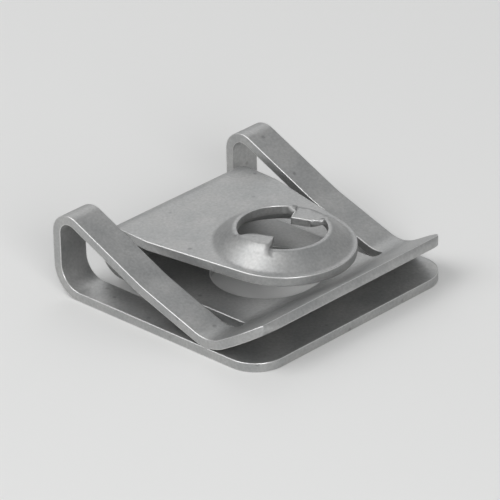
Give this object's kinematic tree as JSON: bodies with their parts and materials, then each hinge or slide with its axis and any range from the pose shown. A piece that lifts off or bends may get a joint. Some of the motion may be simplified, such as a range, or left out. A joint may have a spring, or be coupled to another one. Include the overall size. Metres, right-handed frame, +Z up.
{
  "type": "u clip speed nut",
  "caption": "Folded spring steel U clip nut with a flared mouth, side arms, and a sprung tongue drawn up into a raised screw boss with thread prongs.",
  "frame": {"origin": "centre of the footprint, on the underside of the flat base", "axes": "+X across the clip, +Y from the open mouth back to the folded heel, +Z up from the base towards the screw boss"},
  "size_m": [0.025, 0.0244, 0.008],
  "materials": {
    "plated_steel": "satin"
  },
  "bodies": {
    "root": {"spring_clip": "plated_steel"}
  },
  "joints": []
}
